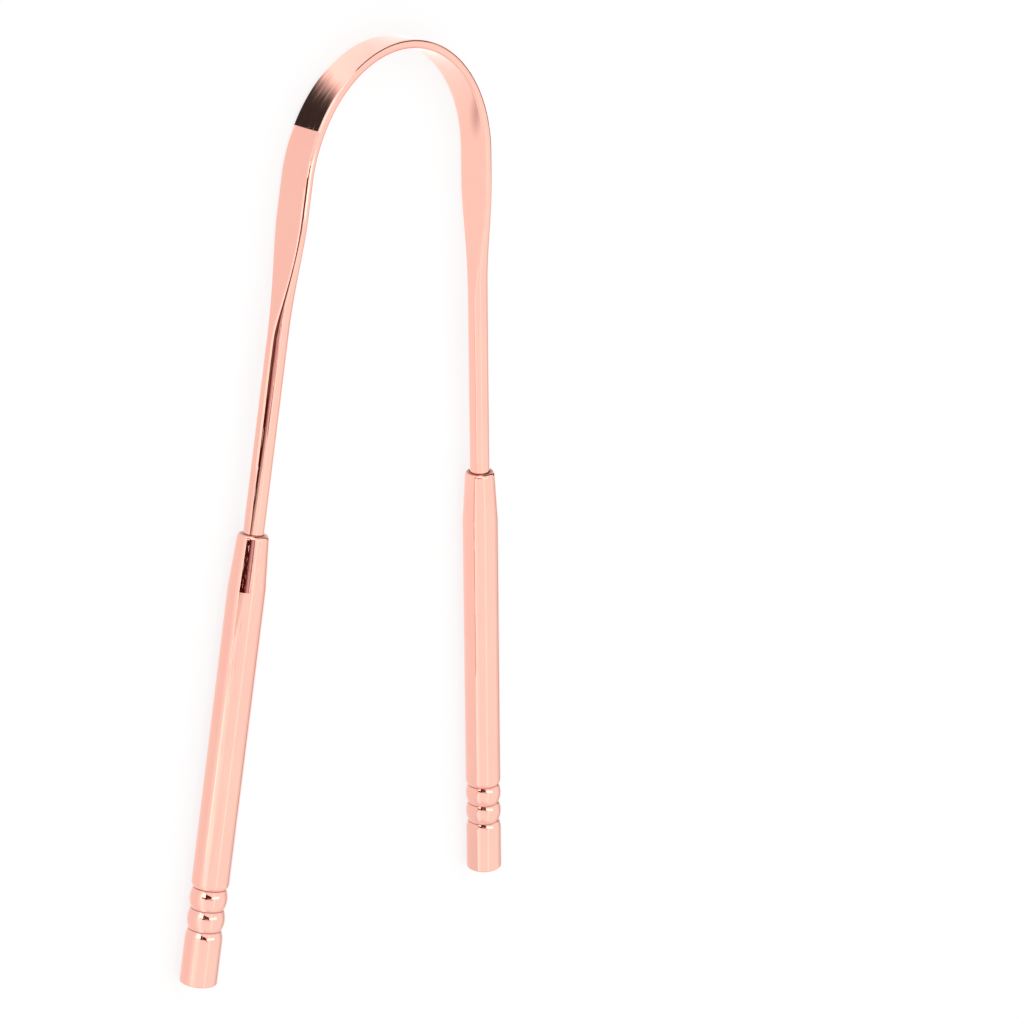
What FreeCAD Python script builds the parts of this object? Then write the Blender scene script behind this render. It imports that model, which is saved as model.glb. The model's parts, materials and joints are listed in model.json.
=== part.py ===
import FreeCAD, Part
import os
from math import acos, asin, cos, degrees, radians, sin, sqrt

from FreeCAD import Vector

# Driving dimensions, in millimetres and degrees.
# The bow: one spring wire, round on its two shanks and pressed flat over the arch.
wire_diameter = 3.5
strap_width = 6.1
strap_thickness = 1.55
strap_flat_share = 0.9          # flat part of the strap's width, between its convex edges
arch_inner_radius = 22.0
leg_length = 135.0              # from the end of the arch to the end of the foot
leg_splay = 6.5                 # lean of each leg away from the middle, degrees
strap_leg_length = 5.4          # full-width strap that runs on straight below the arch
flare_length = 18.4             # from round wire to full strap width
press_runout_length = 14.5      # from the pointed tip of a flat to its full depth
shank_insert_length = 25.0      # shank inside the grip
shank_end_chamfer = 0.3

# The grips: tubes with a tapered nose, swaged down on to the shanks.
grip_diameter = 6.35
grip_wall = 0.8
grip_length = 60.3
nose_length = 9.3
nose_tip_diameter = 5.3
nose_hold_length = 3.5          # straight bore at the nose's tip that holds the shank
nose_rim_radius = 0.65
grip_end_roll_length = 1.0      # rounded lower edge of the tube

# The end plugs: two beads and a foot, with a spigot inside the tube.
foot_length = 9.5
bead_pitch = 3.6
bead_count = 2
groove_depth = 0.42
foot_edge_radius = 0.4
spigot_length = 8.0
spigot_chamfer = 0.4

# Clearances, each on the radius, and the overrun of the pressing tools.
shank_clearance = 0.02
spigot_clearance = 0.02
tool_overrun = 1.0
flare_station_shares = [0.0, 0.125, 0.25, 0.375, 0.5, 0.625, 0.75, 0.875, 1.0]

# Derived sizes.
wire_radius = wire_diameter / 2
half_width = strap_width / 2
half_thickness = strap_thickness / 2
edge_half_depth = half_thickness / sqrt(1 - strap_flat_share ** 2)
arch_radius = arch_inner_radius + half_thickness
grip_radius = grip_diameter / 2
grip_bore_radius = grip_radius - grip_wall
groove_radius = grip_radius - groove_depth
nose_tip_radius = nose_tip_diameter / 2
nose_bore_radius = wire_radius + shank_clearance
spigot_radius = grip_bore_radius - spigot_clearance

# Stations along a leg, measured up from the end of the foot.
grip_start = foot_length + bead_count * bead_pitch
grip_top = grip_start + grip_length
nose_start = grip_top - nose_length
shank_end = grip_top - shank_insert_length
flare_end = leg_length - strap_leg_length
flare_start = flare_end - flare_length
press_full_depth = flare_start + press_runout_length

# The part lies flat: the arch's centre in the frame whose origin is under the middle of the part.
splay = radians(leg_splay)
mid_height = max(grip_radius, half_width)
arch_top = arch_radius + half_thickness
foot_low = (arch_radius * sin(splay) - (leg_length - foot_edge_radius) * cos(splay)
            - (grip_radius - foot_edge_radius) * sin(splay) - foot_edge_radius)
arch_centre = Vector(0, -(arch_top + foot_low) / 2, mid_height)

AXIS_X = Vector(1, 0, 0)
AXIS_Y = Vector(0, 1, 0)
AXIS_Z = Vector(0, 0, 1)
ORIGIN = Vector(0, 0, 0)
SIDES = {"left": -1, "right": 1}


def lines(*points):
    """Straight edges through points given as (distance from the leg's axis, station)."""
    corners = [Vector(radius, station, 0) for radius, station in points]
    return [Part.LineSegment(a, b).toShape() for a, b in zip(corners, corners[1:])]


def arc(centre, radius, start_angle, end_angle):
    """Edge of a circle in the leg's plane, between two angles in degrees."""
    angles = (start_angle, (start_angle + end_angle) / 2, end_angle)
    points = [Vector(centre[0] + radius * cos(radians(a)), centre[1] + radius * sin(radians(a)), 0)
              for a in angles]
    return [Part.Arc(*points).toShape()]


def turned(edges):
    """Solid of revolution about the leg's axis."""
    outline = Part.Wire(Part.__sortEdges__(edges))
    return Part.Face(outline).revolve(ORIGIN, AXIS_Y, 360)


def placed(shape, side):
    """Move a piece made on the leg's own axis to its leg of the bow."""
    on_leg = shape.copy()
    on_leg.translate(Vector(side * arch_radius, -leg_length, 0))
    on_leg.rotate(ORIGIN, AXIS_Z, side * leg_splay)
    on_leg.translate(arch_centre)
    return on_leg


def sagitta_radius(half_chord, height):
    """Radius of the circle whose arc rises by height over twice half_chord."""
    return (half_chord ** 2 + height ** 2) / (2 * height)


def flare_section(share):
    """Outline of the wire before its flats are pressed, at a share of the flare's length."""
    ease = share * share * (3 - 2 * share)
    across = wire_radius + (half_width - wire_radius) * ease
    deep = wire_radius + (edge_half_depth - wire_radius) * ease
    centre = Vector(0, flare_start + share * flare_length, 0)
    ellipse = Part.Ellipse(centre + AXIS_Z * across, centre + AXIS_X * deep, centre)
    return Part.Wire(ellipse.toShape())


def press_die():
    """Tool that presses one flat: level over the strap, and running out of the round shank on an arc."""
    depth = wire_radius - half_thickness
    runout_radius = sagitta_radius(press_runout_length, depth)
    clear = wire_radius + tool_overrun
    lift_angle = degrees(acos(1 - (clear - half_thickness) / runout_radius))
    runout = arc((half_thickness + runout_radius, press_full_depth), runout_radius, 180, 180 + lift_angle)
    tip = runout[0].Vertexes[-1].Point
    end = leg_length + tool_overrun
    level = lines((half_thickness, press_full_depth), (half_thickness, end), (clear, end), (tip.x, tip.y))
    profile = Part.Face(Part.Wire(Part.__sortEdges__(runout + level)))
    profile.translate(AXIS_Z * -(half_width + tool_overrun))
    return profile.extrude(AXIS_Z * (strap_width + 2 * tool_overrun))


def strap_section():
    """Face across the strap: two flats and two convex edges, square to the leg at the end of the arch."""
    outer = Part.Face(flare_section(flare_station_shares[-1]))
    slab = Part.makeBox(strap_thickness, tool_overrun, strap_width,
                        Vector(-half_thickness, flare_end - tool_overrun / 2, -half_width))
    face = outer.common(slab).Faces[0]
    face.translate(AXIS_Y * (leg_length - flare_end))
    return face


def bow_leg():
    """Round shank, flare and straight strap of one leg."""
    shank = Part.makeCylinder(wire_radius, flare_start - shank_end, AXIS_Y * shank_end, AXIS_Y)
    low_rim = min(shank.Edges, key=lambda edge: edge.CenterOfMass.y)
    shank = shank.makeChamfer(shank_end_chamfer, [low_rim])
    flare = Part.makeLoft([flare_section(share) for share in flare_station_shares], True, False)
    die = press_die()
    far_die = die.copy()
    far_die.rotate(ORIGIN, AXIS_Y, 180)
    flare = flare.cut([die, far_die])
    strap = strap_section().extrude(AXIS_Y * -strap_leg_length)
    return shank.fuse([flare, strap])


def scraper_bow():
    """One wire from shank to shank, with the strap bent round the arch."""
    section = placed(strap_section(), SIDES["right"])
    arch = section.revolve(arch_centre, AXIS_Z, 180 - 2 * leg_splay)
    leg = bow_leg()
    bow = arch.fuse([placed(leg, side) for side in SIDES.values()])
    return bow.removeSplitter()


def grip():
    """Tube with a rolled lower edge and a tapered nose that closes on the shank."""
    roll_radius = sagitta_radius(grip_end_roll_length, groove_depth)
    roll_end = grip_start + grip_end_roll_length
    roll_angle = degrees(asin(grip_end_roll_length / roll_radius))
    rim_centre = (nose_tip_radius - nose_rim_radius, grip_top - nose_rim_radius)
    outside = (lines((grip_bore_radius, grip_start), (groove_radius, grip_start))
               + arc((grip_radius - roll_radius, roll_end), roll_radius, -roll_angle, 0)
               + lines((grip_radius, roll_end), (grip_radius, nose_start), (nose_tip_radius, rim_centre[1]))
               + arc(rim_centre, nose_rim_radius, 0, 90))
    inside = lines((rim_centre[0], grip_top), (nose_bore_radius, grip_top),
                   (nose_bore_radius, grip_top - nose_hold_length), (grip_bore_radius, nose_start),
                   (grip_bore_radius, grip_start))
    return turned(outside + inside)


def end_plug():
    """Foot with a rounded rim and shoulder, beads above it, and a spigot for the tube."""
    half_pitch = bead_pitch / 2
    bead_radius = sagitta_radius(half_pitch, groove_depth)
    bead_angle = degrees(asin(half_pitch / bead_radius))
    bead_centre = grip_radius - bead_radius
    shoulder = foot_length - half_pitch
    spigot_top = grip_start + spigot_length
    foot = (lines((0, 0), (grip_radius - foot_edge_radius, 0))
            + arc((grip_radius - foot_edge_radius, foot_edge_radius), foot_edge_radius, -90, 0)
            + lines((grip_radius, foot_edge_radius), (grip_radius, shoulder))
            + arc((bead_centre, shoulder), bead_radius, 0, bead_angle))
    beads = []
    for index in range(bead_count):
        middle = foot_length + (index + 1 / 2) * bead_pitch
        beads += arc((bead_centre, middle), bead_radius, -bead_angle, bead_angle)
    spigot = lines((groove_radius, grip_start), (spigot_radius, grip_start),
                   (spigot_radius, spigot_top - spigot_chamfer), (spigot_radius - spigot_chamfer, spigot_top),
                   (0, spigot_top), (0, 0))
    return turned(foot + beads + spigot)


def build():
    """Every piece by its node's name, in place."""
    pieces = {"scraper_bow": scraper_bow()}
    tube = grip()
    plug = end_plug()
    for name, side in SIDES.items():
        pieces[name + "_grip"] = placed(tube, side)
        pieces[name + "_end_plug"] = placed(plug, side)
    return pieces


os.makedirs("parts", exist_ok=True)
for node, shape in build().items():
    print(node, len(shape.Solids), shape.isValid(), round(shape.Volume, 3))
    shape.exportStep("parts/" + node + ".step")
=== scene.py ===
import json
from math import asin, ceil, cos, hypot, pi, radians, sin, sqrt

import bmesh
import bpy
from mathutils import Matrix, Vector


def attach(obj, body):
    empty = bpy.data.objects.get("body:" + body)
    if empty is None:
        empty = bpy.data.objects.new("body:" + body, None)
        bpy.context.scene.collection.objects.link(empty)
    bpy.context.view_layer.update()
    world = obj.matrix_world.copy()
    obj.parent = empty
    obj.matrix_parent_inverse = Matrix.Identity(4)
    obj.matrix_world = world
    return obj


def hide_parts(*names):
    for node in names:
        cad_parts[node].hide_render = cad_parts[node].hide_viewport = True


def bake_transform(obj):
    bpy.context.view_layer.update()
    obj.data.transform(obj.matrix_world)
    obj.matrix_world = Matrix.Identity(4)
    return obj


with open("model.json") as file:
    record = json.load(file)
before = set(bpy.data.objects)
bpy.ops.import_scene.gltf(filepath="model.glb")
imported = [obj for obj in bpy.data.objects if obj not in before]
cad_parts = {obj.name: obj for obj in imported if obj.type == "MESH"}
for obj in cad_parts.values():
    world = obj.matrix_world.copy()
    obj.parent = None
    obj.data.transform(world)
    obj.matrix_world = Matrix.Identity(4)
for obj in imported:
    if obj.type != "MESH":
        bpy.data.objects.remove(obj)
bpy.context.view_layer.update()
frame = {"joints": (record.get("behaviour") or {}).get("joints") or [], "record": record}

# Sizes, in metres and radians. What the frame states is read from it.
MM = 0.001
flex = next(joint for joint in frame["joints"] if joint["name"] == "bow_flex")
mounts = {mount["name"]: mount for mount in frame["record"]["mounts"]}
arch_centre = Vector(flex["pos_m"])
splay = asin(mounts["right_handle"]["axis"][0])
grip_radius = mounts["right_handle"]["dims"]["r_mm"] * MM
SIDES = {"left": -1, "right": 1}
BODIES = {"left": "left_handle", "right": "bow_and_right_handle"}

# The bow: round wire on the shanks, pressed flat over the arch.
wire_radius = 1.75 * MM
strap_half_width = 3.05 * MM
strap_half_thickness = 0.775 * MM
strap_flat_share = 0.9
arch_radius = 22.0 * MM + strap_half_thickness
leg_length = 135.0 * MM
strap_leg_length = 5.4 * MM
flare_length = 18.4 * MM
press_runout_length = 14.5 * MM
shank_insert_length = 25.0 * MM
edge_break = 0.55 * MM          # reach of the polished rounding at the edges of the strap's flats
edge_half_depth = strap_half_thickness / sqrt(1 - strap_flat_share ** 2)

# The grips and end plugs.
grip_wall = 0.8 * MM
grip_length = 60.3 * MM
nose_length = 9.3 * MM
nose_tip_radius = 2.65 * MM
nose_hold_length = 3.5 * MM
nose_rim_radius = 0.65 * MM
nose_mouth_break = 0.12 * MM     # bevel round the hole that the shank goes into
grip_end_roll_length = 1.0 * MM
foot_length = 9.5 * MM
bead_pitch = 3.6 * MM
bead_count = 2
groove_depth = 0.42 * MM
foot_edge_radius = 0.4 * MM
spigot_length = 8.0 * MM
spigot_chamfer = 0.4 * MM
fit_clearance = 0.02 * MM
grip_bore_radius = grip_radius - grip_wall
groove_radius = grip_radius - groove_depth
nose_bore_radius = wire_radius + fit_clearance
spigot_radius = grip_bore_radius - fit_clearance

# Stations along a leg, measured up from the end of the foot.
grip_start = foot_length + bead_count * bead_pitch
grip_top = grip_start + grip_length
nose_start = grip_top - nose_length
shank_end = grip_top - shank_insert_length
flare_end = leg_length - strap_leg_length
flare_start = flare_end - flare_length
press_full_depth = flare_start + press_runout_length

# Fineness of the meshes.
bow_rings = 600
edge_rows, corner_rows, flat_rows = 4, 16, 4     # rows of faces in a quarter of the strap's section
quarter_rows = edge_rows + corner_rows + flat_rows
turned_segments = 128
longest_step = 0.5 * MM
support_step = 0.05 * MM
arc_step = radians(6)
corner_low_limit = radians(60)      # how far up the round section the rows of a corner may start
corner_high_limit = radians(70)     # and end
merge_reach = 0.0001 * MM
sharp_edge_angle = radians(24)
full_bend = radians(40)             # turn of an outline that counts as a whole edge


class Value:
    """A socket of a node tree. Sums written with it add Math nodes to the tree."""

    def __init__(self, bench, socket):
        self.bench = bench
        self.socket = socket

    def other(self, output):
        """Another output of the same node."""
        return Value(self.bench, self.socket.node.outputs[output])

    def calc(self, operation, *others):
        numbers = dict(enumerate((self, *others)))
        return self.bench.add("ShaderNodeMath", {"operation": operation}, numbers)

    def __add__(self, number):
        return self.calc("ADD", number)

    __radd__ = __add__

    def __sub__(self, number):
        return self.calc("SUBTRACT", number)

    def __rsub__(self, number):
        return (self * -1).calc("ADD", number)

    def __mul__(self, number):
        return self.calc("MULTIPLY", number)

    __rmul__ = __mul__

    def __truediv__(self, number):
        return self.calc("DIVIDE", number)

    def __abs__(self):
        return self.calc("ABSOLUTE")

    def limited(self, low=0.0, high=1.0):
        return self.calc("MAXIMUM", low).calc("MINIMUM", high)

    def eased(self):
        """Smooth step of a value from 0 to 1."""
        return self * self * (3 - 2 * self)


class Bench:
    """Adds nodes to one tree and links them."""

    def __init__(self, tree):
        self.tree = tree
        tree.nodes.clear()

    def add(self, kind, settings=None, inputs=None, output=0):
        """Any node: its type, its settings, its sockets' values or links, and the output to hand on."""
        node = self.tree.nodes.new(kind)
        for name, setting in (settings or {}).items():
            if name == "stops":
                self.set_stops(node.color_ramp.elements, setting)
            else:
                setattr(node, name, setting)
        for key, given in (inputs or {}).items():
            socket = self.found(node.inputs, key)
            if isinstance(given, Value):
                self.tree.links.new(given.socket, socket)
            else:
                socket.default_value = given
        return Value(self, self.found(node.outputs, output)) if node.outputs else node

    @staticmethod
    def set_stops(elements, stops):
        """Stops of a colour ramp, each a place from 0 to 1 and a colour, in order."""
        elements[0].position, elements[0].color = stops[0]
        elements[1].position, elements[1].color = stops[-1]
        for place, colour in stops[1:-1]:
            elements.new(place).color = colour

    @staticmethod
    def found(sockets, key):
        """A socket by its place, identifier or name."""
        if isinstance(key, int):
            return sockets[key]
        named = [socket for socket in sockets if socket.identifier == key]
        return named[0] if named else sockets[key]


def linked(name, mesh):
    """Object of a mesh, in the scene."""
    piece = bpy.data.objects.new(name, mesh)
    bpy.context.scene.collection.objects.link(piece)
    return piece


# The bow


def bow_sizes():
    """Named inputs of the bow's tree."""
    runout_drop = wire_radius - strap_half_thickness
    return {
        "Arch radius": arch_radius,
        "Arch half angle": pi / 2 - splay,
        "Leg length": leg_length,
        "Drawn length": 2 * (arch_radius * (pi / 2 - splay) + leg_length - shank_end),
        "Wire radius": wire_radius,
        "Strap half width": strap_half_width,
        "Strap half thickness": strap_half_thickness,
        "Edge half depth": edge_half_depth,
        "Flare start": flare_start,
        "Flare length": flare_length,
        "Press full depth": press_full_depth,
        "Run-out radius": (press_runout_length ** 2 + runout_drop ** 2) / (2 * runout_drop),
        "Edge break": edge_break,
        "Arch centre Y": arch_centre.y,
        "Mid height": arch_centre.z,
    }


def bow_section(size, station, turn_x, turn_y):
    """Where a ring's vertex sits in the wire's section: outward, across, and how near a flat's edge."""
    ease = ((station - size["Flare start"]) / size["Flare length"]).limited().eased()
    across = size["Wire radius"] + (size["Strap half width"] - size["Wire radius"]) * ease
    deep = size["Wire radius"] + (size["Edge half depth"] - size["Wire radius"]) * ease
    short_of_flat = (size["Press full depth"] - station).calc("MAXIMUM", 0)
    runout = size["Run-out radius"]
    lift = runout - (runout * runout - short_of_flat * short_of_flat).calc("SQRT")
    pressed = size["Strap half thickness"] + lift
    quarter = abs(turn_y).calc("MINIMUM", 1).calc("ARCSINE") * (2 / pi)
    corner_low = ((pressed - size["Edge break"]) / deep).calc("MINIMUM", 1).calc("ARCSINE")
    corner_high = ((pressed + size["Edge break"]) / deep).calc("MINIMUM", 1).calc("ARCSINE")
    corner_low = corner_low.calc("MINIMUM", corner_low_limit)
    corner_high = corner_high.calc("MINIMUM", corner_high_limit)
    edge_end = edge_rows / quarter_rows
    corner_end = (edge_rows + corner_rows) / quarter_rows
    on_edge = (quarter / edge_end).limited()
    on_corner = ((quarter - edge_end) / (corner_end - edge_end)).limited()
    on_flat = ((quarter - corner_end) / (1 - corner_end)).limited()
    angle = (on_edge * corner_low + on_corner * (corner_high - corner_low)
             + on_flat * (pi / 2 - corner_high))
    depth = (deep * angle.calc("SINE")).calc("SMOOTH_MIN", pressed, size["Edge break"])
    flat_edge = on_corner * (1 - on_corner) * 4 * ((deep - pressed) / size["Edge break"]).limited()
    return turn_y.calc("SIGN") * depth, turn_x.calc("SIGN") * across * angle.calc("COSINE"), flat_edge


def bow_tree(metal):
    """Geometry nodes that draw a tube along the bow's line and press its section flat over the arch."""
    tree = bpy.data.node_groups.new("drawn_and_pressed_bow", "GeometryNodeTree")
    bench = Bench(tree)
    tree.interface.new_socket("Geometry", in_out="OUTPUT", socket_type="NodeSocketGeometry")
    for name in bow_sizes():
        tree.interface.new_socket(name, in_out="INPUT", socket_type="NodeSocketFloat")
    first = bench.add("NodeGroupInput")
    size = {name: first.other(name) for name in bow_sizes()}
    tube = bench.add("GeometryNodeMeshCylinder", {"fill_type": "NGON"}, {
        "Vertices": 4 * quarter_rows, "Side Segments": bow_rings, "Radius": 1.0, "Depth": 1.0})
    turn_x = bench.add("ShaderNodeSeparateXYZ", inputs={0: bench.add("GeometryNodeInputPosition")})
    turn_y, along = turn_x.other(1), turn_x.other(2) * size["Drawn length"]
    side = along.calc("SIGN")
    from_crown = abs(along)
    angle = (from_crown / size["Arch radius"]).calc("MINIMUM", size["Arch half angle"])
    down_leg = (from_crown - size["Arch radius"] * size["Arch half angle"]).calc("MAXIMUM", 0)
    station = size["Leg length"] - down_leg
    outward, across, flat_edge = bow_section(size, station, turn_x, turn_y)
    out_x, out_y = angle.calc("SINE"), angle.calc("COSINE")
    reach = size["Arch radius"] + outward
    place = bench.add("ShaderNodeCombineXYZ", inputs={
        0: side * (reach * out_x + down_leg * out_y),
        1: size["Arch centre Y"] + reach * out_y - down_leg * out_x,
        2: size["Mid height"] + across})
    grain = bench.add("ShaderNodeCombineXYZ", inputs={0: along, 1: outward, 2: across})
    store = "GeometryNodeStoreNamedAttribute"
    shape = bench.add(store, {"data_type": "FLOAT_VECTOR", "domain": "POINT"},
                      {"Geometry": tube, "Name": "drawn", "Value": grain})
    shape = bench.add(store, {"data_type": "FLOAT", "domain": "POINT"},
                      {"Geometry": shape, "Name": "edge", "Value": flat_edge})
    shape = bench.add("GeometryNodeSetPosition", inputs={"Geometry": shape, "Position": place})
    shape = bench.add("GeometryNodeSetShadeSmooth", inputs={"Geometry": shape})
    shape = bench.add("GeometryNodeRealizeInstances", inputs={"Geometry": shape})
    shape = bench.add("GeometryNodeSetMaterial", inputs={"Geometry": shape, "Material": metal})
    bench.add("NodeGroupOutput", inputs={"Geometry": shape})
    return tree


def made_by(tree, name, sizes):
    """Plain mesh piece from a geometry tree and its sizes."""
    carrier = linked(name + "_carrier", bpy.data.meshes.new(name + "_carrier"))
    modifier = carrier.modifiers.new(name, "NODES")
    modifier.node_group = tree
    for item in tree.interface.items_tree:
        if item.in_out == "INPUT":
            modifier[item.identifier] = sizes[item.name]
    evaluated = carrier.evaluated_get(bpy.context.evaluated_depsgraph_get())
    mesh = bpy.data.meshes.new_from_object(evaluated)
    carrier.modifiers.remove(modifier)
    bpy.data.objects.remove(carrier)
    mesh.name = name
    return linked(name, facing_out(mesh))


def facing_out(mesh):
    """Merge doubles and turn every face outwards."""
    work = bmesh.new()
    work.from_mesh(mesh)
    bmesh.ops.remove_doubles(work, verts=work.verts, dist=merge_reach)
    bmesh.ops.recalc_face_normals(work, faces=work.faces)
    work.to_mesh(mesh)
    work.free()
    return mesh


def scraper_bow():
    """The whole bow, bent over the arch."""
    nose_mouth = arch_radius * (pi / 2 - splay) + leg_length - grip_top
    metal = rose_gold("bow_metal", [nose_mouth])
    bow = made_by(bow_tree(metal), "bow", bow_sizes())
    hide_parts("scraper_bow")
    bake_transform(bow)


# The turned pieces


def shares(length, count):
    """Even shares of a run from 0, with one close to each end to hold the edges crisp, 1 left out."""
    close = support_step / length
    inner = [close, 1 - close] if length > 3 * support_step else []
    return sorted([k / count for k in range(count)] + inner)


def straight(start, end):
    """Points of an outline from one (radius, station) to another, the last one left out."""
    length = hypot(end[0] - start[0], end[1] - start[1])
    count = max(1, ceil(length / longest_step))
    return [tuple(a + (b - a) * share for a, b in zip(start, end)) for share in shares(length, count)]


def rounded(centre, radius, start, end):
    """Points of an arc in an outline, between two angles, the last one left out."""
    count = max(2, ceil(abs(end - start) / arc_step))
    angles = [start + (end - start) * share for share in shares(radius * abs(end - start), count)]
    return [(centre[0] + radius * cos(a), centre[1] + radius * sin(a)) for a in angles]


def sagitta_radius(half_chord, height):
    """Radius of the circle whose arc rises by height over twice half_chord."""
    return (half_chord ** 2 + height ** 2) / (2 * height)


def grip_outline():
    """Closed outline of a grip: rolled lower edge, plain tube, tapered nose with a rounded rim, bore."""
    roll_radius = sagitta_radius(grip_end_roll_length, groove_depth)
    roll_end = grip_start + grip_end_roll_length
    rim = (nose_tip_radius - nose_rim_radius, grip_top - nose_rim_radius)
    mouth_radius, mouth_low = nose_bore_radius + nose_mouth_break, grip_top - nose_mouth_break
    bore_shoulder = (nose_bore_radius, grip_top - nose_hold_length)
    return (straight((grip_bore_radius, grip_start), (groove_radius, grip_start))
            + rounded((grip_radius - roll_radius, roll_end), roll_radius,
                      -asin(grip_end_roll_length / roll_radius), 0)
            + straight((grip_radius, roll_end), (grip_radius, nose_start))
            + straight((grip_radius, nose_start), (nose_tip_radius, rim[1]))
            + rounded(rim, nose_rim_radius, 0, pi / 2)
            + straight((rim[0], grip_top), (mouth_radius, grip_top))
            + straight((mouth_radius, grip_top), (nose_bore_radius, mouth_low))
            + straight((nose_bore_radius, mouth_low), bore_shoulder)
            + straight(bore_shoulder, (grip_bore_radius, nose_start))
            + straight((grip_bore_radius, nose_start), (grip_bore_radius, grip_start)))


def plug_outline():
    """Outline of an end plug from the middle of its foot to the middle of its spigot's end."""
    half_pitch = bead_pitch / 2
    bead_radius = sagitta_radius(half_pitch, groove_depth)
    bead_angle = asin(half_pitch / bead_radius)
    bead_centre = grip_radius - bead_radius
    foot_flat = grip_radius - foot_edge_radius
    shoulder = foot_length - half_pitch
    spigot_top = grip_start + spigot_length
    chamfer_low = (spigot_radius, spigot_top - spigot_chamfer)
    chamfer_high = (spigot_radius - spigot_chamfer, spigot_top)
    points = straight((0, 0), (foot_flat, 0))
    points += rounded((foot_flat, foot_edge_radius), foot_edge_radius, -pi / 2, 0)
    points += straight((grip_radius, foot_edge_radius), (grip_radius, shoulder))
    points += rounded((bead_centre, shoulder), bead_radius, 0, bead_angle)
    for index in range(bead_count):
        middle = foot_length + (index + 1 / 2) * bead_pitch
        points += rounded((bead_centre, middle), bead_radius, -bead_angle, bead_angle)
    points += straight((groove_radius, grip_start), (spigot_radius, grip_start))
    points += straight((spigot_radius, grip_start), chamfer_low)
    points += straight(chamfer_low, chamfer_high)
    points += straight(chamfer_high, (0, spigot_top))
    return points + [(0, spigot_top)]


def on_leg(side):
    """Moves a piece made along +Y, from the foot's end at the origin, to its leg of the bow."""
    return (Matrix.Translation(arch_centre) @ Matrix.Rotation(side * splay, 4, "Z")
            @ Matrix.Translation((side * arch_radius, -leg_length, 0)))


def bends(outline, closed):
    """Turn of an outline at each of its points, above 0 on an edge."""
    count = len(outline)
    turns = []
    for k, here in enumerate(outline):
        if not closed and k in (0, count - 1):
            turns.append(0.0)
            continue
        back, ahead = Vector(outline[k - 1]), Vector(outline[(k + 1) % count])
        turns.append((Vector(here) - back).angle_signed(ahead - Vector(here)) * -1)
    return turns


def turned(name, outline, closed, side, metal):
    """Mesh of an outline turned about the leg, with the place on the leg and the edges as attributes."""
    work = bmesh.new()
    drawn = work.verts.layers.float_vector.new("drawn")
    edge = work.verts.layers.float.new("edge")
    rings = []
    for (radius, station), bend in zip(outline, bends(outline, closed)):
        count = turned_segments if radius > 0 else 1
        turns = [2 * pi * k / turned_segments for k in range(count)]
        ring = [work.verts.new((radius * cos(t), station, radius * sin(t))) for t in turns]
        for vertex in ring:
            vertex[drawn] = (vertex.co.y, vertex.co.x, vertex.co.z)
            vertex[edge] = min(1.0, max(0.0, bend / full_bend))
        rings.append(ring)
    for low, high in zip(rings, rings[1:] + rings[:1] if closed else rings[1:]):
        for k in range(turned_segments):
            near, far = k, (k + 1) % turned_segments
            corners = [low[near % len(low)], low[far % len(low)],
                       high[far % len(high)], high[near % len(high)]]
            work.faces.new(list(dict.fromkeys(corners)))
    bmesh.ops.recalc_face_normals(work, faces=work.faces)
    work.transform(on_leg(side))
    mesh = bpy.data.meshes.new(name)
    work.to_mesh(mesh)
    work.free()
    mesh.materials.append(metal)
    mesh.shade_smooth()
    mesh.set_sharp_from_angle(angle=sharp_edge_angle)
    return linked(name, mesh)


def handles():
    """Tube and end plug of each handle."""
    grip_metal = rose_gold("grip_metal", [grip_start, grip_top])
    grooves = [foot_length + index * bead_pitch for index in range(bead_count + 1)]
    plug_metal = rose_gold("plug_metal", grooves)
    for name, side in SIDES.items():
        grip = turned(name + "_tube", grip_outline(), True, side, grip_metal)
        plug = turned(name + "_plug", plug_outline(), False, side, plug_metal)
        for piece, node, slot in ((grip, "_grip", "grip_metal"), (plug, "_end_plug", "plug_metal")):
            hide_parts(name + node)
            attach(piece, BODIES[name])


# Finishes

rose_tint = (0.922, 0.480, 0.400, 1.0)
warm_tint = (0.918, 0.495, 0.404, 1.0)      # patches where the plating is a little yellower
worn_tint = (0.940, 0.580, 0.500, 1.0)      # edges rubbed paler
seam_shade_tint = (0.250, 0.070, 0.050, 1.0)      # polish residue in grooves and seams, with painted shade darkening them
seam_reach = 0.16 * MM
# Marks in the plating, and the painted shade in the seams: the noise's scale along each axis and its
# detail.
marks = {
    "tone": ((70, 70, 70), 2.0),
    "smudge": ((160, 160, 160), 4.0),
    "streaks": ((90, 2600, 2600), 2.0),
    "hairlines": ((260, 6500, 6500), 1.0),
    "ripple": ((240, 240, 240), 1.0),
    "rubbing": ((420, 420, 420), 2.0),
    "residue_and_shade": ((600, 600, 600), 2.0),
}
# The noise's levels at which a mark starts and is whole.
mark_levels = {
    "tone": (0.35, 0.7),
    "smudge": (0.52, 0.72),
    "hairlines": (0.60, 0.68),
    "rubbing": (0.35, 0.65),
    "residue_and_shade": (0.15, 0.5),
}
rubbed_paleness = 0.3
residue_and_shade_darkness = 0.85
mirror_roughness = 0.035
smudge_roughness = 0.03
hairline_roughness = 0.22
rubbed_roughness = 0.02
residue_roughness = 0.12
ripple_height = 0.0016 * MM
streak_height = 0.12            # streaks and hairlines against the ripple
hairline_depth = 0.06


def new_material(name):
    """Material with an empty tree, and the bench to fill it."""
    material = bpy.data.materials.new(name)
    material.use_nodes = True
    return material, Bench(material.node_tree)


def blended(bench, share, first, second):
    """Mix of two colours, each a constant or a socket."""
    return bench.add("ShaderNodeMix", {"data_type": "RGBA"},
                     {"Factor_Float": share, "A_Color": first, "B_Color": second}, "Result_Color")


def ramped(noise, low, high):
    """A noise stretched so that low becomes 0 and high becomes 1."""
    return ((noise - low) / (high - low)).limited().eased()


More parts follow.
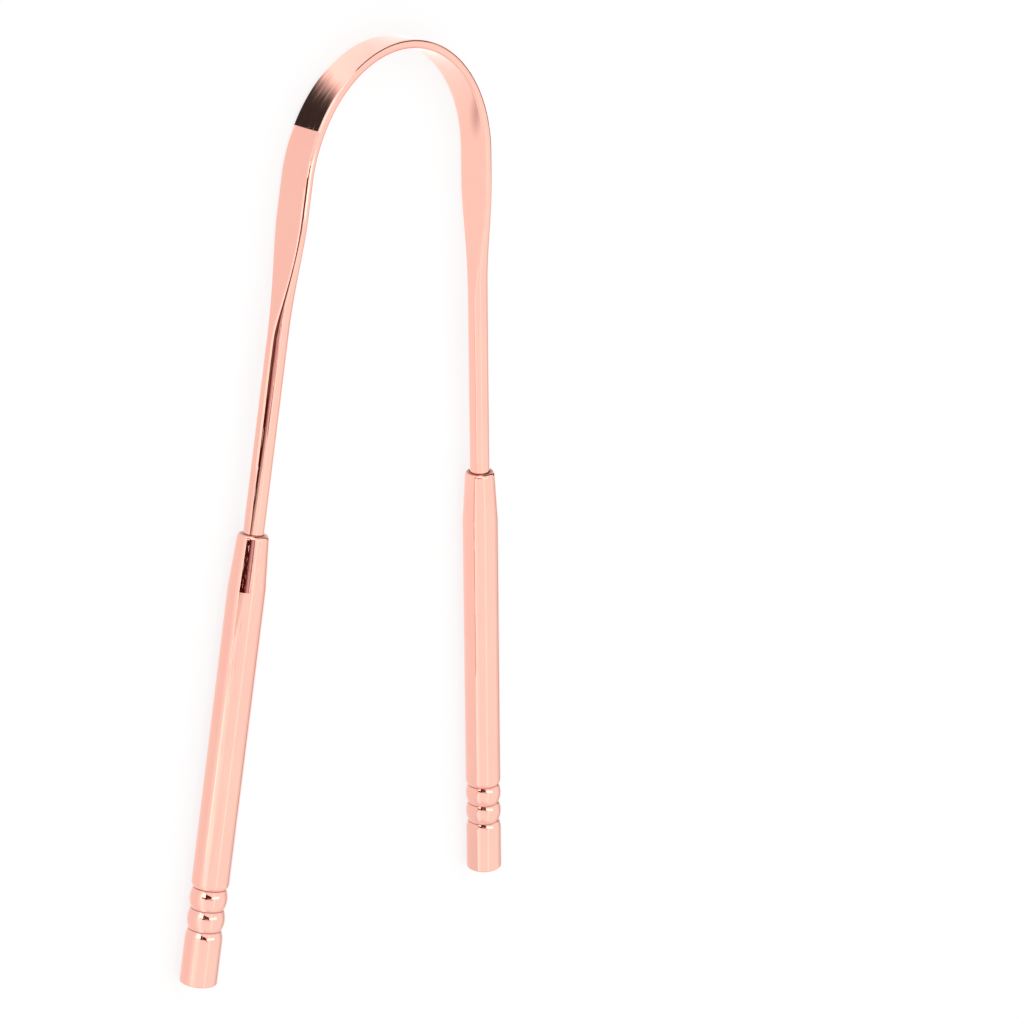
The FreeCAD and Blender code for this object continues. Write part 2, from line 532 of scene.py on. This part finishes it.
def rose_gold(name, seams):
    """Mirror-polished rose gold plating: faint drawing lines, smudges, hairline scratches, rubbed edges,
    and polish residue with painted shade darkening the seams at the given places along the piece."""
    material, bench = new_material(name)
    place = bench.add("ShaderNodeTexCoord", output="Object")
    drawn = bench.add("ShaderNodeAttribute", {"attribute_name": "drawn"}, output="Vector")
    edge = bench.add("ShaderNodeAttribute", {"attribute_name": "edge"}, output="Fac")
    along = abs(bench.add("ShaderNodeSeparateXYZ", inputs={0: drawn}))
    seam = (1 - abs(along - seams[0]) / seam_reach).limited()
    for further in seams[1:]:
        seam = seam.calc("MAXIMUM", 1 - abs(along - further) / seam_reach)

    def noise(vector, mark):
        stretch, detail = marks[mark]
        scaled = bench.add("ShaderNodeVectorMath", {"operation": "MULTIPLY"}, {0: vector, 1: stretch})
        return bench.add("ShaderNodeTexNoise", inputs={"Vector": scaled, "Scale": 1.0, "Detail": detail})

    def marked(vector, mark):
        return ramped(noise(vector, mark), *mark_levels[mark])

    tone = marked(place, "tone")
    smudge = marked(place, "smudge")
    streaks = noise(drawn, "streaks")
    hairlines = marked(drawn, "hairlines")
    ripple = noise(place, "ripple")
    rubbed = edge * marked(place, "rubbing")
    residue_and_shade = seam * marked(place, "residue_and_shade")

    tint = blended(bench, tone, rose_tint, warm_tint)
    tint = blended(bench, rubbed * rubbed_paleness, tint, worn_tint)
    # Painted shade: grooves and seams darkened, partly as polish residue.
    tint = blended(bench, residue_and_shade * residue_and_shade_darkness, tint, seam_shade_tint)
    roughness = (mirror_roughness + smudge * smudge_roughness + hairlines * hairline_roughness
                 + rubbed * rubbed_roughness + residue_and_shade * residue_roughness)
    height = streaks * streak_height + ripple - hairlines * hairline_depth
    relief = bench.add("ShaderNodeBump", inputs={
        "Strength": 1.0, "Distance": ripple_height, "Height": height})
    shader = bench.add("ShaderNodeBsdfPrincipled", inputs={
        "Base Color": tint, "Metallic": 1.0, "Roughness": roughness, "Normal": relief})
    bench.add("ShaderNodeOutputMaterial", inputs={"Surface": shader})
    return material


# Stage, light and camera

WHITE = (1.0, 1.0, 1.0, 1.0)
floor_reach = 3.0
floor_paint = (0.9, 0.9, 0.9, 1.0)
floor_white_share = 0.8         # of plain white in the floor that the camera sees: the rest holds shadow
camera_place = Vector((-447.29, 170.11, 376.375)) * MM
camera_aim = Vector((39.23, -10.32, 3.175)) * MM
camera_sensor = 36.0
camera_lens = 126.57
camera_roll = radians(3.81)     # turn of the picture against the part's length
camera_near, camera_far = 0.01, 20.0
# Lamps: place, point that they face, width, length and brightness.
softboxes = {
    "overhead_softbox": ((0, 0, 0.75), (0, 0, 0), 2.4, 2.4, 0.19),
    "overhead_strip": ((-0.2, -0.25, 0.74), (-0.2, -0.25, 0), 0.12, 1.1, 0.18),
}
lamp_power = 4                  # of an area lamp, for each unit of brightness and of area


def ramp_colour(shade):
    """Colour of a ramp's stop from a grey or a colour."""
    return (*shade, 1.0) if isinstance(shade, tuple) else (shade, shade, shade, 1.0)


def graded(bench, value, stops):
    """Glow that follows a value through stops of (value, brightness as a grey or a colour)."""
    low, high = stops[0][0], stops[-1][0]
    shades = [ramp_colour(shade) for place, shade in stops]
    brightest = max(max(shade) for shade in shades)
    places = [(place - low) / (high - low) for place, shade in stops]
    scaled = [(*(part / brightest for part in shade[:3]), 1.0) for shade in shades]
    ramp = bench.add("ShaderNodeValToRGB", {"stops": list(zip(places, scaled))},
                     {"Fac": (value - low) / (high - low)})
    return bench.add("ShaderNodeEmission", inputs={"Color": ramp, "Strength": brightest})


def either(bench, share, first, second):
    """Mix of two shaders."""
    return bench.add("ShaderNodeMixShader", inputs={0: share, 1: first, 2: second})


def stage_place(bench):
    """Object coordinates: X, with Y and Z as its other outputs."""
    place = bench.add("ShaderNodeTexCoord", output="Object")
    return bench.add("ShaderNodeSeparateXYZ", inputs={0: place})


# The floor as the metal mirrors it: brightness by distance out from the left leg, and between the legs
# by distance along the part from the arch's centre. Its lower levels near the legs are painted shadow.
floor_outside = [(0.0, 1.05), (0.008, 1.05), (0.0115, 1.12), (0.023, 1.27), (0.048, 1.42), (0.10, 1.5)]
floor_between = [(-0.135, 0.97), (-0.115, 1.05), (-0.075, 1.08), (-0.055, 1.13), (0.004, 1.14),
                 (0.016, 1.31)]
floor_shade_spot = (0.0170, 0.0038)           # painted shade: a dark spot inside the right of the arch, seen only in the metal; its place from the arch's centre
floor_shade_spot_reach = (0.0018, 0.0030)
floor_shade_spot_level = 0.6
floor_shade_spot_share = 0.75


def mirrored_floor(bench):
    """The floor's glow in the metal, with a dark spot of painted shade."""
    x = stage_place(bench)
    y = x.other(1) - arch_centre.y
    outside = y * sin(splay) - x * cos(splay) - arch_radius
    clean = either(bench, outside.calc("GREATER_THAN", 0), graded(bench, y, floor_between),
                   graded(bench, outside, floor_outside))
    # Painted shade: a dark spot on the floor that only the metal mirrors.
    across = (x - floor_shade_spot[0]) / floor_shade_spot_reach[0]
    along = (y - floor_shade_spot[1]) / floor_shade_spot_reach[1]
    mark = (1 - (across * across + along * along).calc("SQRT")).limited().eased()
    painted_dark_spot = bench.add("ShaderNodeEmission", inputs={"Color": WHITE, "Strength": floor_shade_spot_level})
    return either(bench, mark * floor_shade_spot_share, clean, painted_dark_spot)


def floor():
    """Pale floor, white to the camera apart from the part's shadow."""
    mesh = bpy.data.meshes.new("floor")
    work = bmesh.new()
    bmesh.ops.create_grid(work, x_segments=1, y_segments=1, size=floor_reach)
    work.to_mesh(mesh)
    work.free()
    material, bench = new_material("pale_floor")
    paint = bench.add("ShaderNodeBsdfDiffuse", inputs={"Color": floor_paint})
    white = bench.add("ShaderNodeEmission", inputs={"Color": WHITE, "Strength": 1.0})
    path = bench.add("ShaderNodeLightPath", output="Is Camera Ray")
    in_metal = path.other("Is Glossy Ray").calc("MAXIMUM", path.other("Is Transmission Ray"))
    surface = either(bench, path * floor_white_share, paint, white)
    surface = either(bench, in_metal, surface, mirrored_floor(bench))
    bench.add("ShaderNodeOutputMaterial", inputs={"Surface": surface})
    mesh.materials.append(material)
    linked("floor", mesh)


def softbox(name, place, aim, width, length, brightness):
    """Soft area lamp that adds a given brightness, seen in the metal but not by the camera."""
    lamp = bpy.data.lights.new(name, "AREA")
    lamp.shape = "RECTANGLE"
    lamp.size = width
    lamp.size_y = length
    lamp.energy = lamp_power * brightness * width * length
    box = bpy.data.objects.new(name, lamp)
    bpy.context.scene.collection.objects.link(box)
    box.location = place
    box.rotation_euler = (Vector(aim) - Vector(place)).to_track_quat("-Z", "Y").to_euler()
    box.visible_camera = False


def mirrored(name, corners, faces, shading):
    """Card of the studio that only the metal mirrors."""
    mesh = bpy.data.meshes.new(name)
    mesh.from_pydata(corners, [], faces)
    material, bench = new_material(name)
    bench.add("ShaderNodeOutputMaterial", inputs={"Surface": shading(bench)})
    mesh.materials.append(material)
    card = linked(name, mesh)
    card.visible_camera = False
    card.visible_diffuse = False
    card.visible_shadow = False


# Shades of the dark cards, and where the cards stand.
deep_shade = (0.10, 0.025, 0.017)
slit_shade = (0.062, 0.008, 0.004)
slit_fade_shade = (0.28, 0.20, 0.18)
slit_foot_shade = (0.62, 0.62, 0.58)
slit_top_shade = (0.46, 0.33, 0.31)
brown_shade = (0.45, 0.33, 0.28)
strap_shade = (0.18, 0.10, 0.08)
far_shade = 0.10
front_x = -0.40
near_x = -0.09
side_x = -0.45
far_x = 0.60
ceiling_height = 0.74
card_lift = 0.05 * MM           # cards on the floor, clear of it and of the part

# Upright cards: start and end on the floor, and stops of (height, brightness or colour) up the card.
upright_cards = {
    "front_slit": ((front_x, -0.031), (front_x, 0.008),
                   [(0.0, slit_shade), (0.205, slit_shade), (0.24, (0.22, 0.09, 0.09)),
                    (0.28, (0.40, 0.18, 0.20)), (0.33, (0.64, 0.40, 0.46)), (0.38, (0.78, 0.62, 0.69)),
                    (0.45, (0.74, 0.60, 0.64)), (0.49, (0.50, 0.37, 0.37)), (0.55, (0.36, 0.26, 0.23)),
                    (0.64, (0.36, 0.26, 0.23)), (0.69, 1.45), (0.75, 1.45)]),
    "slit_fade": ((front_x, -0.039), (front_x, -0.031),
                  [(0.0, slit_fade_shade), (0.205, slit_fade_shade), (0.25, (0.55, 0.50, 0.50)),
                   (0.43, (0.60, 0.55, 0.55)), (0.475, (0.50, 0.36, 0.37)), (0.62, (0.36, 0.25, 0.22)),
                   (0.67, 1.45), (0.75, 1.45)]),
    "slit_foot": ((front_x, -0.0525), (front_x, -0.039),
                  [(0.0, slit_foot_shade), (0.44, slit_foot_shade), (0.48, 1.45), (0.75, 1.45)]),
    "slit_tail": ((front_x, -0.078), (front_x, -0.0525), [(0.0, brown_shade), (0.012, brown_shade)]),
    "front_panel": ((front_x, 0.008), (front_x, 0.16), [(0.0, 2.2), (0.160, 2.2)]),
    "lens_window": ((front_x, 0.008), (front_x, 0.14), [(0.160, deep_shade), (0.68, deep_shade)]),
    "top_panel": ((front_x, 0.008), (front_x, 0.12), [(0.68, 2.1), (ceiling_height, 2.1)]),
    "rim_panel": ((front_x, 0.35), (-0.02, 0.62), [(0.0, 1.8), (0.45, 1.8)]),
    "strap_card": ((near_x, 0.018), (near_x, 0.062), [(0.0, strap_shade), (0.034, strap_shade)]),
    "bead_card": ((near_x, -0.0705), (near_x, -0.0600),
                  [(0.0, 1.55), (0.018, 1.5), (0.03, 1.2), (0.075, 1.17)]),
    "bead_hem": ((near_x, -0.0600), (near_x, -0.0565), [(0.0, 1.55), (0.018, 1.5), (0.022, 1.45)]),
    "side_stripe": ((side_x, -0.78), (side_x, -0.07),
                    [(0.0, 1.5), (0.05, 1.48), (0.11, 1.38), (0.20, 1.27), (0.30, 1.19)]),
    "far_corner": ((0.0, 0.62), (far_x, 0.30), [(0.0, 0.07), (0.28, far_shade)]),
    "far_dark_gap": ((far_x, 0.30), (far_x, -0.05), [(0.0, far_shade), (0.20, far_shade)]),
    "far_gap": ((far_x, -0.05), (far_x, -0.50), [(0.0, 0.60), (0.12, 0.60)]),
}
# Level cards: height, brightness, and corners.
level_cards = {
    "strap_glow": (card_lift, 1.5,
                   [(-0.0365, 0.010), (-0.0897, -0.002), (-0.0842, 0.046), (-0.0313, 0.056)]),
    "bead_glow": (card_lift, 2.2,
                  [(-0.068, -0.063), (-0.298, -0.017), (-0.298, 0.074), (-0.068, -0.0525)]),
    "ceiling_panel": (ceiling_height, 2.1,
                      [(front_x, 0.008), (0.23, -0.095), (0.23, 0.042), (front_x, 0.12)]),
}
# Slanting card above the slit: its corners.
slit_top = [(front_x, -0.0525, 0.50), (front_x, -0.0525, 0.72),
            (front_x, -0.10, 1.08), (front_x, -0.10, 0.74)]
# Card on the floor round the arch: its radii, the degrees from the crown at which it starts at each of
# them, and stops of (degrees from the crown, brightness).
arch_ring = (22.6 * MM, 34.0 * MM)
arch_ring_start = (-62.8, -59.55)
arch_ring_levels = [(-61.3, 0.042), (-51, 0.045), (-48, 0.06), (-45, 0.12), (-41, 0.42), (-37.5, 0.95),
                    (-33.5, 1.45), (-30, 1.49), (-26, 1.44), (-18, 1.36), (-10, 1.31), (14, 1.31)]
arch_ring_steps = 40
streak_fineness = (2600, 0.05)  # of the streaks at its dark end, across it and along it
streak_detail = 3.0
streak_reach = 10               # degrees by which a streak runs ahead of another


def upright(start, end, stops):
    """Corners of a card that stands over a line on the floor."""
    low, high = stops[0][0], stops[-1][0]
    return [(*start, low), (*end, low), (*end, high), (*start, high)]


def one_level(level, colour=WHITE):
    """Glow that is the same all over a card."""
    return lambda bench: bench.add("ShaderNodeEmission", inputs={"Color": colour, "Strength": level})


def upright_shade(stops):
    """Glow that changes up a card."""
    return lambda bench: graded(bench, stage_place(bench).other(2), stops)


def arch_ring_corners():
    """Corners and faces of the card round the arch."""
    end = arch_ring_levels[-1][0]
    corners = []
    for k in range(arch_ring_steps + 1):
        for reach, start in zip(arch_ring, arch_ring_start):
            turn = radians(start + (end - start) * k / arch_ring_steps)
            corners.append((reach * sin(turn), arch_centre.y + reach * cos(turn), card_lift))
    return corners, [(2 * k, 2 * k + 1, 2 * k + 3, 2 * k + 2) for k in range(arch_ring_steps)]


def arch_ring_shade(bench):
    """Black at the foot of the arch, brightening in streaks towards the crown."""
    x = stage_place(bench)
    y = x.other(1) - arch_centre.y
    reach = (x * x + y * y).calc("SQRT")
    turn = x.calc("ARCTAN2", y) * (180 / pi)
    spread = bench.add("ShaderNodeCombineXYZ", inputs={
        0: reach * streak_fineness[0], 1: turn * streak_fineness[1]})
    streak = bench.add("ShaderNodeTexNoise", inputs={
        "Vector": spread, "Scale": 1.0, "Detail": streak_detail})
    return graded(bench, turn + (streak - 0.5) * streak_reach, arch_ring_levels)


def light():
    """Plain white room and two soft lamps overhead."""
    world = bpy.data.worlds.new("soft_room")
    bpy.context.scene.world = world
    world.use_nodes = True
    bench = Bench(world.node_tree)
    glow = bench.add("ShaderNodeBackground", inputs={"Color": WHITE, "Strength": 1.0})
    bench.add("ShaderNodeOutputWorld", inputs={"Surface": glow})
    for name, measures in softboxes.items():
        softbox(name, *measures)


def studio_cards():
    """Every card that the metal mirrors."""
    one_face = [(0, 1, 2, 3)]
    for name, (start, end, stops) in upright_cards.items():
        mirrored(name, upright(start, end, stops), one_face, upright_shade(stops))
    for name, (height, level, corners) in level_cards.items():
        mirrored(name, [(*corner, height) for corner in corners], one_face, one_level(level))
    mirrored("slit_top", slit_top, one_face, one_level(1.0, ramp_colour(slit_top_shade)))
    mirrored("arch_ring", *arch_ring_corners(), arch_ring_shade)


def camera():
    """Camera at the photograph's place."""
    data = bpy.data.cameras.new("camera")
    data.sensor_width = camera_sensor
    data.lens = camera_lens
    data.clip_start = camera_near
    data.clip_end = camera_far
    view = bpy.data.objects.new("camera", data)
    bpy.context.scene.collection.objects.link(view)
    back = (camera_place - camera_aim).normalized()
    length = Vector((0, 1, 0))
    up = (length - back * length.dot(back)).normalized()
    right = up.cross(back)
    turn = Matrix((right, up, back)).transposed() @ Matrix.Rotation(camera_roll, 3, "Z")
    view.matrix_world = Matrix.Translation(camera_place) @ turn.to_4x4()
    bpy.context.scene.camera = view


bpy.context.scene.view_settings.view_transform = "Standard"
scraper_bow()
handles()
floor()
light()
studio_cards()
camera()
